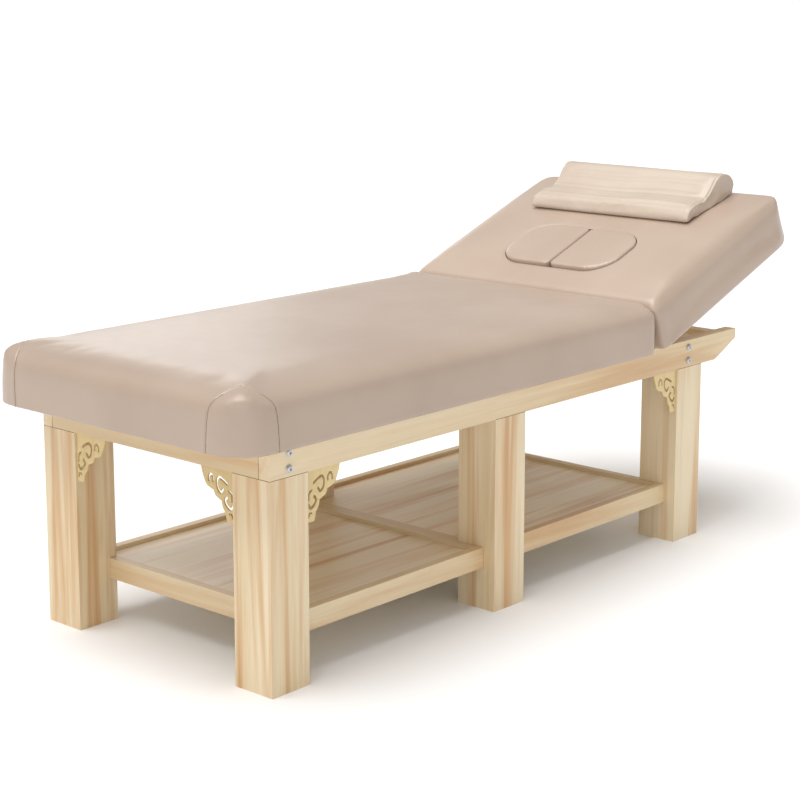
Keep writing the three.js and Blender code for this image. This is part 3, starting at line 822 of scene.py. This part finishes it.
def even(points, step):
    """The same line with points a step apart."""
    points = [Vector(p) for p in points]
    out = [points[0]]
    left = step
    for a, b in zip(points, points[1:]):
        length = (b - a).length
        at = left
        while at < length:
            out.append(a.lerp(b, at / length))
            at += step
        left = at - length
    return out


STITCH = {"pitch": 5.0 * MM, "length": 3.6 * MM, "radius": 0.42 * MM}
STITCH_ARCH = ((0, -0.1), (0.25, 0.22), (0.75, 0.22), (1, -0.1))  # share of its length, height in millimetres


def stitch_row(bm, surface, line):
    """A row of short stitches that lie along a line on the surface."""
    spots = even(line, STITCH["pitch"])
    for a, b in zip(spots, spots[1:]):
        way = (b - a).normalized() * STITCH["length"]
        points = []
        for share, height in STITCH_ARCH:
            points += snapped(surface, [a + way * share], height * MM)
        tube(bm, points, STITCH["radius"], 6)


# ---------- seat ----------
SEAT_VOXEL = 10 * MM
SEAT_SWELL = 7.0  # most that the padding rises over the CAD shape
PANEL_REACH = 96.0  # how far a corner panel's seams lie from the corner of the outline
PANEL_APEX = 60.0  # where they meet on top, in from the side and from the foot end
PANEL_WALL = 80.0  # height of the upright part of a seam
PANEL_ROLL = 40.0  # how much higher the seam ends, past the roll of the edge
WALL_SHARE = 0.6  # share of a seam that is upright
SEAM_STEPS = 48
SEAM_SHOWN = 0.87  # share of a seam up to where its painted shade line and its stitches show


def held_below(co, floor):
    """1 for what the trimming takes, and down to 0 a little higher up."""
    return 1 - ramp(co[:, 2], floor, floor + 10 * MM)


def corner_seam(low, edge, outward, along_side):
    """One seam of a foot corner panel: up the side or the foot end, then over the roll to its apex."""
    points = []
    for i in range(SEAM_STEPS + 1):
        t = i / SEAM_STEPS
        wall = min(1.0, t / WALL_SHARE)
        turn = max(0.0, (t - WALL_SHARE) / (1 - WALL_SHARE)) * math.pi / 2
        up = PANEL_WALL * wall + PANEL_ROLL * math.sin(turn)
        near = PANEL_APEX * (1 - math.cos(turn))
        far = PANEL_REACH - 4.0 * wall
        far -= (far - PANEL_APEX) * (1 - math.cos(turn))
        x, y = (far, near) if along_side else (near, far)
        points.append((low.x + x * MM, edge - outward * y * MM, low.z + (up + 0.5) * MM))
    return points


def recess_for(board, floor):
    """The pocket that a cushion's board lies in, open at its underside."""
    pocket = hull("recess", board)
    co = coords(pocket)
    middle = (co.min(axis=0) + co.max(axis=0)) / 2
    grow = 1 + 0.8 * MM / (co.max(axis=0) - co.min(axis=0))
    out = middle + (co - middle) * grow
    out[:, 2] = np.where(co[:, 2] < middle[2], floor - 0.02, co[:, 2] + 0.3 * MM)
    set_coords(pocket, out)
    return pocket


def seat():
    """The seat's cushion over its board, with the sewn corner panels at its foot end."""
    low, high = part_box("seat_cushion")
    obj = remesh(blank("seat_upholstery", nodes["seat_cushion"]), SEAT_VOXEL, 8)
    co = coords(obj)
    up = (co[:, 2] - low.z) / (high.z - low.z)
    cap = SEAT_SWELL * MM * (0.35 + 0.65 * ramp(up, 0.2, 1.0))
    cap *= 0.2 + 0.8 * ramp(high.x - co[:, 0], 0.0, 0.05)
    inflate(obj, 4.0, cap, held_below(co, low.z - 4 * MM))
    refine(obj)
    co = coords(obj)
    fit_box(obj, (low.x, low.y, co[:, 2].min()), (high.x, high.y, co[:, 2].max()))
    trim_below(obj, low.z)
    cut_away(obj, recess_for(nodes["seat_board"], low.z))
    surface = surface_of(obj)
    lines = []
    for _, outward in SIDES:
        edge = high.y if outward > 0 else low.y
        for along_side in (True, False):
            lines.append(snapped(surface, corner_seam(low, edge, outward, along_side)))
    sew(obj, [np.array(line) for line in lines], depth=1.1, width=1.5, swell=0.5, rounds=2)
    shaded(obj, 50)
    finish_piece(obj, "frame", "upholstery", cover, "seat_cushion")
    seam_shade_and_stitches(obj, lines, Vector((low.x + 0.2, 0, low.z)))


def seam_shade_and_stitches(obj, lines, inner):
    """The dark line in each seam, painted shade of its groove, and a row of stitches on its side towards
    inner.
    """
    surface = surface_of(obj)
    shadow = bmesh.new()
    stitches = bmesh.new()
    for line in lines:
        shown = line[: int(len(line) * SEAM_SHOWN)]
        tube(shadow, snapped(surface, even(shown, 2 * MM), 0.1 * MM), 0.5 * MM, 8)
        beside = []
        for i, p in enumerate(shown):
            _, normal, _, _ = surface.find_nearest(p)
            along = (shown[min(i + 1, len(shown) - 1)] - shown[max(i - 1, 0)]).normalized()
            side = along.cross(normal).normalized()
            way = side if side.dot(inner - p) > 0 else -side
            beside.append(p + way * 4.5 * MM)
        stitch_row(stitches, surface, snapped(surface, beside))
    finish_piece(from_bmesh("seat_corner_seam_shade", shadow), "frame", "upholstery", seam_dark)
    finish_piece(from_bmesh("seat_corner_stitches", stitches), "frame", "upholstery", stitch_thread)


seat()


# ---------- backrest ----------
tilt_joint = next(j for j in frame["joints"] if j["name"] == "back_tilt")
PIVOT = Vector(tilt_joint["pos_m"])
TILT = math.radians(-tilt_joint["range_deg"][0])
TILTED = Matrix.Translation(PIVOT) @ Matrix.Rotation(-TILT, 4, "Y")


def lowest(node):
    """The lowest corner of a node's box once the backrest is laid flat."""
    level = TILTED.inverted()
    return np.array([level @ v.co for v in nodes[node].data.vertices]).min(axis=0)


back_low = lowest("back_cushion")
# BACK places what is drawn flat: x along the backrest from its foot end, y across, z up from its underside.
BACK = TILTED @ Matrix.Translation((back_low[0], 0, back_low[2]))
LEVEL = BACK.inverted()


def flat_box(node):
    """The lowest and highest corners of a node in the flat drawing of the backrest."""
    co = np.array([LEVEL @ v.co for v in nodes[node].data.vertices])
    return Vector(co.min(axis=0)), Vector(co.max(axis=0))


def rounded(x0, x1, y0, y1, radii, steps=14):
    """A rectangle with rounded corners as a list of points; radii start at (x1, y1) and go round by y1."""
    points = []
    corners = ((x1, y1, -1, -1), (x0, y1, 1, -1), (x0, y0, 1, 1), (x1, y0, -1, 1))
    for quarter, ((x, y, to_x, to_y), radius) in enumerate(zip(corners, radii)):
        for i in range(steps + 1):
            a = (quarter + i / steps) * math.pi / 2
            points.append((x + radius * (to_x + math.cos(a)), y + radius * (to_y + math.sin(a))))
    return points


plug_low, plug_high = flat_box("face_plug_left")
HOLE_PLAY = 1.5 * MM
HOLE_SIDE = -plug_low.y + HOLE_PLAY
HOLE = (plug_low.x - HOLE_PLAY, plug_high.x + HOLE_PLAY, -HOLE_SIDE, HOLE_SIDE)
HOLE_CORNER = 75 * MM
HINGE_SLOT = {"y": 212 * MM, "half": 10 * MM, "length": 28 * MM, "height": 108.5 * MM}
BACK_SWELL = {"top": 0.8 * MM, "side": 5 * MM}
BOARD_INSET = 11.4 * MM
BOARD_CORNER = 80 * MM - BOARD_INSET
SQUARE = 1 * MM  # the radius of a corner that is as good as square


RIM = {"depth": 3.2, "width": 12.0, "above": 90 * MM}  # depth and width in millimetres


def rolled_rim(obj, outline):
    """Turns the skin softly down into an opening, as a cover pulled over its edge."""
    co = coords(obj)
    line = np.array([(x, y, 0.0) for x, y in outline + outline[:1]])
    plan = co.copy()
    plan[:, 2] = 0
    d = distance_to(line, plan) / MM
    drop = RIM["depth"] * np.clip(1 - d / RIM["width"], 0, 1) ** 2
    co[:, 2] -= np.where(co[:, 2] > RIM["above"], drop, 0) * MM
    set_coords(obj, co)


def board_recess(low, high):
    """The pocket under the backrest's cushion that its board lies in."""
    _, board_high = flat_box("back_board")
    x = (low.x + BOARD_INSET, high.x - BOARD_INSET)
    y = (low.y + BOARD_INSET, high.y - BOARD_INSET)
    outline = rounded(*x, *y, (BOARD_CORNER, SQUARE, SQUARE, BOARD_CORNER))
    return from_bmesh("recess", outline_prism(outline, -0.02, board_high.z + 0.3 * MM))


def hinge_slot(outward):
    """The pocket for one hinge, open at the cushion's foot face."""
    y = HINGE_SLOT["y"] * outward
    half = HINGE_SLOT["half"]
    end = HINGE_SLOT["length"]
    box = [(-0.05, y - half), (end, y - half), (end, y + half), (-0.05, y + half)]
    return from_bmesh("slot", outline_prism(box, -0.05, HINGE_SLOT["height"]))


def backrest():
    """The backrest's cushion, cut for its board, its hinges and the face hole."""
    low, high = flat_box("back_cushion")
    obj = remesh(blank("back_upholstery", nodes["back_cushion"], LEVEL), SEAT_VOXEL, 7)
    co = coords(obj)
    upright = 1 - ramp(normals(obj)[:, 2], 0.5, 0.95)
    cap = BACK_SWELL["top"] + (BACK_SWELL["side"] - BACK_SWELL["top"]) * upright
    cap *= 0.15 + 0.85 * ramp(co[:, 0], low.x, low.x + 0.05)
    inflate(obj, 4.0, cap, held_below(co, low.z - 4 * MM))
    refine(obj)
    co = coords(obj)
    fit_box(obj, (low.x, low.y, co[:, 2].min()), (high.x, high.y, high.z))
    trim_below(obj, low.z)
    recess = board_recess(low, high)
    hole = rounded(*HOLE, [HOLE_CORNER] * 4)
    opening = from_bmesh("opening", outline_prism(hole, -0.05, 0.3))
    slots = [hinge_slot(outward) for _, outward in SIDES]
    cut_away(obj, recess, opening, *slots)
    rolled_rim(obj, hole)
    obj.data.transform(BACK)
    shaded(obj, 50)
    finish_piece(obj, "backrest", "upholstery", cover, "back_cushion")


backrest()


# ---------- face-hole plugs ----------
PLUG_GAP = 1.5 * MM
PLUG_SPLIT_CORNER = 15 * MM


def plug(side, outward):
    """Half of the face-hole filler: an upright-sided block with a softly domed, rounded top."""
    low, high = flat_box(f"face_plug_{side}")
    outer = HOLE_CORNER - HOLE_PLAY
    split = PLUG_SPLIT_CORNER
    if outward > 0:
        outline = rounded(low.x, high.x, PLUG_GAP, high.y, (outer, outer, split, split))
    else:
        outline = rounded(low.x, high.x, low.y, -PLUG_GAP, (split, split, outer, outer))
    bm = outline_prism(outline, low.z, high.z)
    obj = remesh(from_bmesh(f"face_plug_{side}_pad", bm), 4 * MM, 5)
    co = coords(obj)
    up = (co[:, 2] - low.z) / (high.z - low.z)
    inflate(obj, 3.0, 1.8 * MM * ramp(up, 0.8, 1.0) + 0.05 * MM, 1 - ramp(up, 0.8, 0.93))
    refine(obj)
    obj.data.transform(BACK)
    shaded(obj)
    finish_piece(obj, f"face_plug_{side}", "upholstery", cover, f"face_plug_{side}")


for side, outward in SIDES:
    plug(side, outward)


# ---------- pillow ----------
PILLOW_SEAM = 9 * MM  # how far in from each end the end panel's seam runs
PILLOW_CORE = 18 * MM  # height of a line through the pillow that all its outline can be seen from
SEAM_ROUND = 96  # points round an end seam
GATHER_SHARE = 0.75
GATHERS = ((0.031, 1.7, 0.4), (0.019, 0.8, 2.1), (0.047, 0.9, 4.0))  # spacing, height in mm and phase


def gather(obj, low, high):
    """Soft ridges across the pillow, where the cover lies a little loose in its valley and on its front."""
    co = coords(obj)
    facing = normals(obj)
    along = co[:, 0] - low.x
    wander = 0.004 * np.sin(co[:, 1] * 9.0) + 0.002 * np.sin(co[:, 1] * 23.0 + 1.0)
    height = np.zeros(len(co))
    for spacing, amount, phase in GATHERS:
        height += amount * np.sin((along + wander) * 2 * math.pi / spacing + phase)
    length = high.x - low.x
    where = 1 - 0.65 * ramp(along, 0.45 * length, 0.7 * length)
    ends = ramp(high.y - np.abs(co[:, 1]), 0.01, 0.05)
    top = ramp(facing[:, 2], 0.1, 0.6)
    set_coords(obj, co + facing * (height * where * ends * top * GATHER_SHARE * MM)[:, None])


def end_seam(surface, low, high, y):
    """The line right round the pillow at one place across."""
    centre = Vector(((low.x + high.x) / 2, y, low.z + PILLOW_CORE))
    points = []
    for i in range(SEAM_ROUND + 1):
        a = 2 * math.pi * i / SEAM_ROUND
        spot, _, _, _ = surface.ray_cast(centre, Vector((math.cos(a), 0, math.sin(a))))
        if spot is not None:
            points.append(spot)
    return points


def pillow():
    """The loose pillow: a high roll at its head side, a valley and a low roll at its foot side."""
    low, high = flat_box("pillow")
    obj = remesh(copy_mesh("pillow_pad", nodes["pillow"], LEVEL), 5 * MM, 5)
    co = coords(obj)
    up = co[:, 2] - low.z
    inflate(obj, 4.0, 5.0 * MM * ramp(up, 0.0, 0.03) + 0.05 * MM, 1 - ramp(up, 0.004, 0.014))
    refine(obj)
    co = coords(obj)
    fit_box(obj, (low.x, low.y, low.z), (high.x, high.y, co[:, 2].max()))
    gather(obj, low, high)
    surface = surface_of(obj)
    lines = [end_seam(surface, low, high, y) for y in (low.y + PILLOW_SEAM, high.y - PILLOW_SEAM)]
    sew(obj, [np.array(line) for line in lines], depth=0.9, width=1.3, swell=0.6, rounds=1)
    obj.data.transform(BACK)
    shaded(obj)
    finish_piece(obj, "pillow", "pillow_cover", pillow_cover, "pillow")


pillow()


# ---------- stage ----------
# Metres, degrees and millimetres of lens. turn is from +Y towards +X.
CAMERA = {
    "place": (-3.1973, -2.7644, 1.3493),
    "turn": 48.143,
    "down": 10.514,
    "lens": 85.78,
    "sensor": 36,
    "shift": -0.1,
}


def camera():
    """Above and to the left of the foot end, looking along the bed."""
    data = bpy.data.cameras.new("camera")
    data.lens = CAMERA["lens"]
    data.sensor_width = CAMERA["sensor"]
    data.shift_y = CAMERA["shift"]
    obj = link(bpy.data.objects.new("camera", data))
    obj.location = CAMERA["place"]
    obj.rotation_euler = (math.radians(90 - CAMERA["down"]), 0, math.radians(-CAMERA["turn"]))
    bpy.context.scene.camera = obj


def soft_light(name, place, aim, size, power, spread=180):
    """A round lamp of a size in metres, and how wide its beam opens in degrees."""
    data = bpy.data.lights.new(name, "AREA")
    data.shape = "DISK"
    data.size = size
    data.energy = power
    data.spread = math.radians(spread)
    obj = link(bpy.data.objects.new(name, data))
    obj.location = place
    obj.rotation_euler = (Vector(aim) - Vector(place)).to_track_quat("-Z", "Y").to_euler()


def sky_light(name, lean, strength, spread):
    """A broad light that is as strong all over the floor. lean is how far from overhead, about Y and X."""
    data = bpy.data.lights.new(name, "SUN")
    data.energy = strength
    data.angle = math.radians(spread)
    obj = link(bpy.data.objects.new(name, data))
    obj.rotation_euler = (math.radians(lean[1]), math.radians(lean[0]), 0)


FLOOR_HALF = 60  # metres, so that its edge is out of sight


def floor():
    bm = bmesh.new()
    bmesh.ops.create_grid(bm, x_segments=1, y_segments=1, size=FLOOR_HALF)
    obj = from_bmesh("floor", bm)
    s = Shader("pale_floor")
    white = s.done(Base_Color=(0.96, 0.96, 0.96, 1), Roughness=0.85, Specular_IOR_Level=0.2)
    obj.data.materials.append(white)


def surroundings(seen, lighting):
    """A white room: seen is how bright it looks behind the bed, lighting how much light it gives."""
    world = bpy.data.worlds.new("studio")
    bpy.context.scene.world = world
    world.use_nodes = True
    tree = world.node_tree
    background = tree.nodes["Background"]
    rays = tree.nodes.new("ShaderNodeLightPath")
    strength = tree.nodes.new("ShaderNodeMapRange")
    strength.inputs["To Min"].default_value = lighting
    strength.inputs["To Max"].default_value = seen
    tree.links.new(rays.outputs["Is Camera Ray"], strength.inputs["Value"])
    tree.links.new(strength.outputs[0], background.inputs["Strength"])
    background.inputs["Color"].default_value = (1, 1, 1, 1)


bpy.context.scene.view_settings.view_transform = "Standard"
camera()
surroundings(1.0, 0.48)
floor()
sky_light("overhead", (-14, -6), 2.45, 50)
sky_light("front_fill", (-69, 41), 0.44, 60)
soft_light("window", (3.4, 5.5, 2.5), (-0.7, 0, 0.6), 2.4, 20)
soft_light("back_glow", (-2.2, -0.6, 2.6), (0.62, 0, 0.75), 0.9, 1.6, 40)
